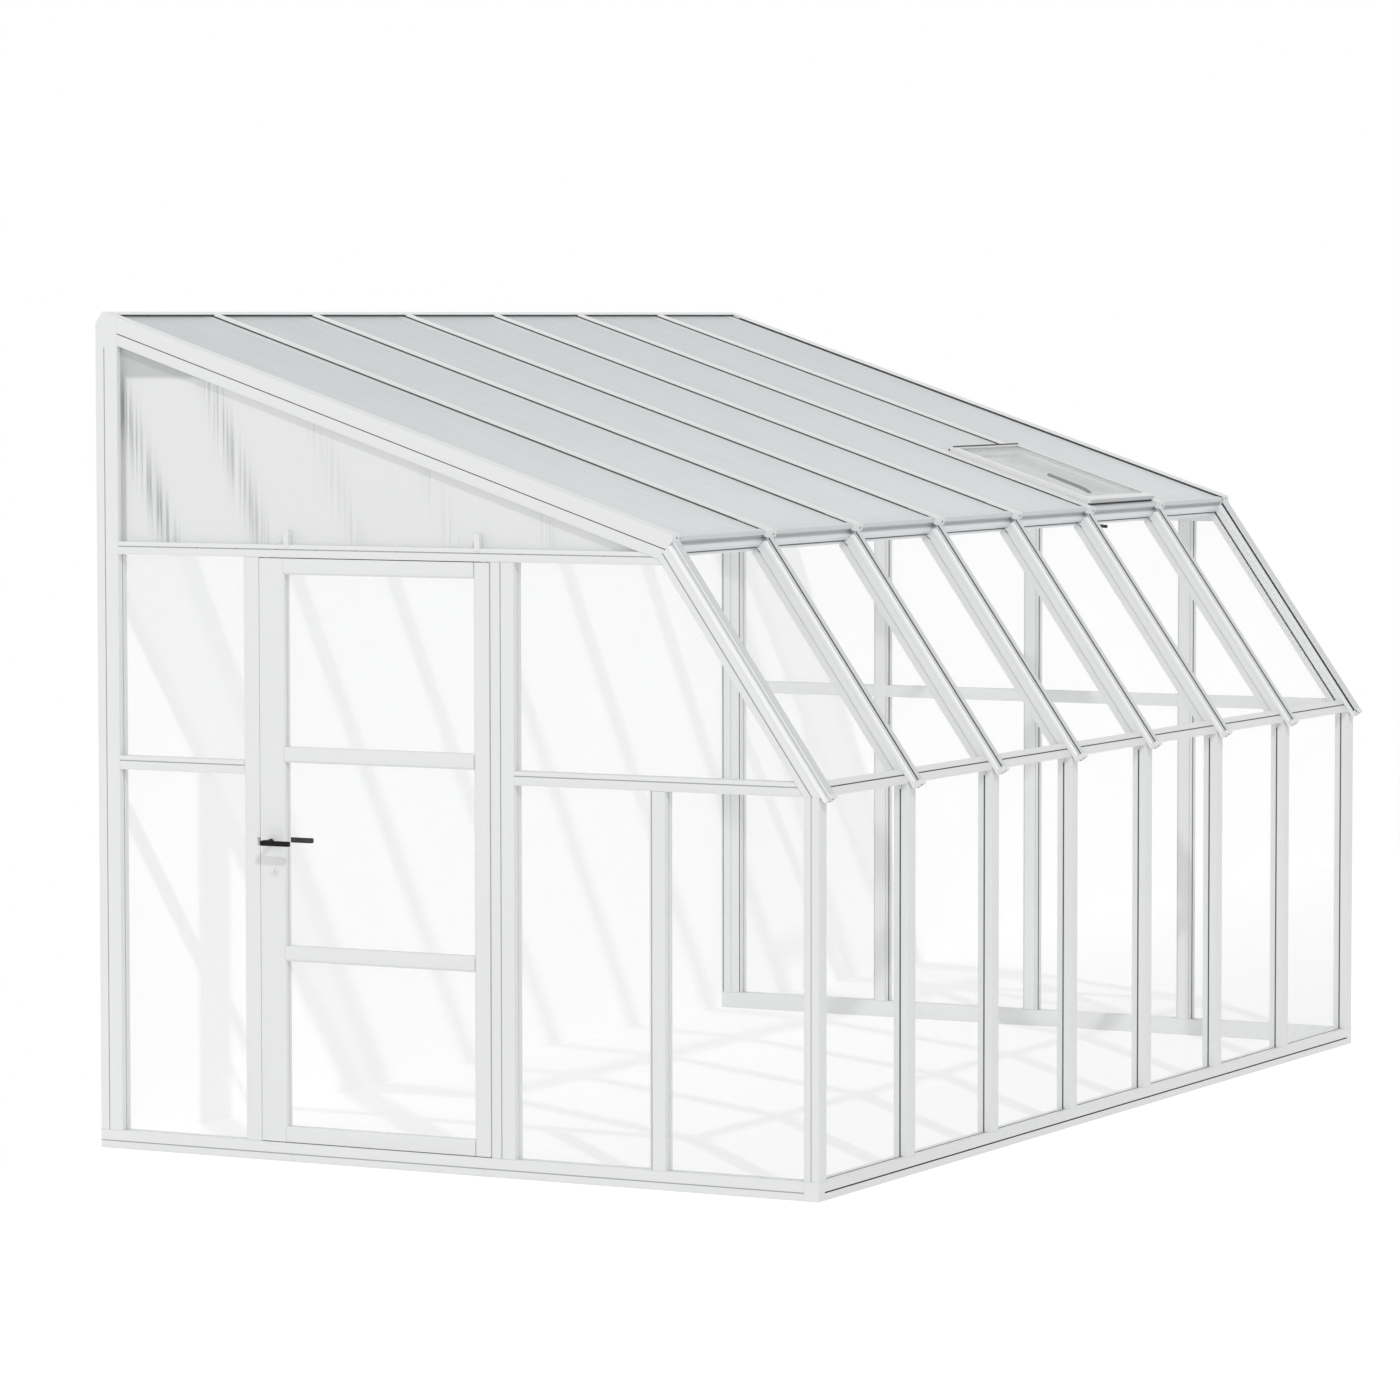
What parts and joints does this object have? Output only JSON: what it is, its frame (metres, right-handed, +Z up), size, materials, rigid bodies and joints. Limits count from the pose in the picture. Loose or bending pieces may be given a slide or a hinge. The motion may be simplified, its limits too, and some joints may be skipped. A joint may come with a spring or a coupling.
{
  "type": "lean-to greenhouse",
  "caption": "Lean-to greenhouse with a glazed sloped front, twin-wall roof, hinged gable door with lever handle and latch, and a tilting roof vent.",
  "frame": {"origin": "middle of the bounding box on the floor, under the sills", "axes": "+Z up, +Y towards the house wall, +X along the wall away from the door gable"},
  "size_m": [4.4554, 2.638, 2.7029],
  "materials": {
    "white_frame": "satin white plastic profile",
    "purlin": "pale grey metal",
    "clear_pane": "clear",
    "twin_wall_panel": "translucent twin-wall sheet",
    "black_fittings": "matte black",
    "latch_metal": "brushed"
  },
  "bodies": {
    "structure": {"front_sill": "white_frame", "door_gable_sill": "white_frame", "far_gable_sill": "white_frame", "door_gable_rear_post": "white_frame", "door_gable_corner_post": "white_frame", "far_gable_rear_post": "white_frame", "far_gable_corner_post": "white_frame", "front_stud_1": "white_frame", "front_stud_2": "white_frame", "front_stud_3": "white_frame", "front_stud_4": "white_frame", "front_stud_5": "white_frame", "front_stud_6": "white_frame", "rear_door_stud": "white_frame", "front_door_stud": "white_frame", "short_stud": "white_frame", "rear_mid_rail": "white_frame", "front_mid_rail": "white_frame", "door_gable_top_rail": "white_frame", "far_gable_top_rail": "white_frame", "far_stud_1": "white_frame", "far_stud_2": "white_frame", "far_stud_3": "white_frame", "far_mid_rail": "white_frame", "eave_rail": "white_frame", "wall_plate": "white_frame", "slope_bar_1": "white_frame", "slope_bar_2": "white_frame", "slope_bar_3": "white_frame", "slope_bar_4": "white_frame", "slope_bar_5": "white_frame", "slope_bar_6": "white_frame", "roof_bar_1": "white_frame", "roof_bar_2": "white_frame", "roof_bar_3": "white_frame", "roof_bar_4": "white_frame", "roof_bar_5": "white_frame", "roof_bar_6": "white_frame", "door_gable_slope_bar": "white_frame", "door_gable_roof_bar": "white_frame", "far_gable_slope_bar": "white_frame", "far_gable_roof_bar": "white_frame", "vent_curb": "white_frame", "knee_purlin": "purlin", "front_panes": "clear_pane", "slope_panes": "clear_pane", "door_gable_rear_pane": "clear_pane", "door_gable_front_pane": "clear_pane", "far_gable_pane": "clear_pane", "roof_panels": "twin_wall_panel", "door_gable_upper_panel": "twin_wall_panel", "far_gable_upper_panel": "twin_wall_panel"},
    "door": {"door_leaf": "white_frame", "door_pane": "clear_pane"},
    "handle": {"outer_handle": "black_fittings", "inner_handle": "black_fittings"},
    "latch": {"latch_bolt": "latch_metal"},
    "vent": {"vent_sash": "white_frame", "vent_pane": "twin_wall_panel"},
    "stay": {"vent_stay": "black_fittings"}
  },
  "joints": [
    {"name": "door_swing", "type": "hinge", "parent": "structure", "child": "door", "pos_m": [-2.1603, -0.121, 0.988], "axis": [0, 0, 1], "range_deg": [0, 105]},
    {"name": "handle_turn", "type": "hinge", "parent": "door", "child": "handle", "pos_m": [-2.1508, 0.664, 1.02], "axis": [1, 0, 0], "range_deg": [0, 40], "stiffness_Nm_per_rad": 1.2, "springref_deg": -20.05},
    {"name": "latch_slide", "type": "slide", "parent": "door", "child": "latch", "axis": [0, -1, 0], "range_m": [0, 0.012]},
    {"name": "vent_tilt", "type": "hinge", "parent": "structure", "child": "vent", "pos_m": [1.2677, -0.2193, 2.20965], "axis": [-1, 0, 0], "range_deg": [0, 25]},
    {"name": "stay_swing", "type": "hinge", "parent": "structure", "child": "stay", "pos_m": [1.2677, -0.65782, 2.02277], "axis": [1, 0, 0], "range_deg": [0, 38]}
  ],
  "couplings": [
    {"joint": "latch_slide", "follows": "handle_turn", "m_per_rad": 0.017},
    {"joint": "stay_swing", "follows": "vent_tilt", "ratio": 1.5}
  ]
}
